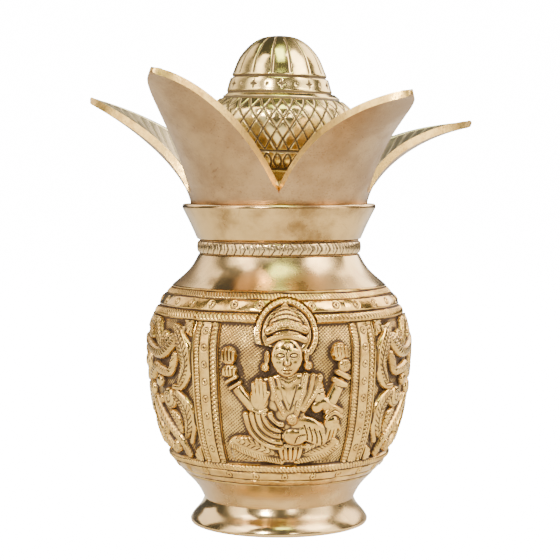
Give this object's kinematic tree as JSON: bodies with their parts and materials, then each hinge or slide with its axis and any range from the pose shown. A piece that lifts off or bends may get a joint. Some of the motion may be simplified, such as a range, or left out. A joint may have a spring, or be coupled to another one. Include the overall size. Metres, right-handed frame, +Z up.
{
  "type": "kalash pot with leaf crown and coconut",
  "caption": "Footed brass water pot with embossed belly and flared mouth, a loose crown of mango leaves in the mouth and a loose brass coconut on the crown.",
  "frame": {"origin": "middle of the foot's resting ring, on the pot's axis", "axes": "+Z up the pot's axis; the main figure panel faces -Y; +X is to the viewer's right of it"},
  "size_m": [0.1598, 0.1513, 0.1942],
  "materials": {
    "polished_brass": "polished smooth foot, shoulder and mouth",
    "embossed_brass": "chased and embossed, dark brown in the hollows",
    "leaf_brass": "satin outside, filed pale edges",
    "coconut_brass": "polished, engraved lines darkened"
  },
  "bodies": {
    "pot": {"foot": "polished_brass", "belly": "embossed_brass", "neck_ring": "embossed_brass", "mouth_collar": "polished_brass"},
    "crown": {"leaf_crown": "leaf_brass", "crown_floor": "leaf_brass"},
    "coconut": {"coconut_shell": "coconut_brass", "coconut_cap": "coconut_brass", "coconut_plug": "coconut_brass"}
  },
  "joints": [
    {"name": "crown_lift", "type": "slide", "parent": "pot", "child": "crown", "axis": [0, 0, 1], "range_m": [0, 0.05]},
    {"name": "coconut_lift", "type": "slide", "parent": "crown", "child": "coconut", "axis": [0, 0, 1], "range_m": [0, 0.06]}
  ]
}
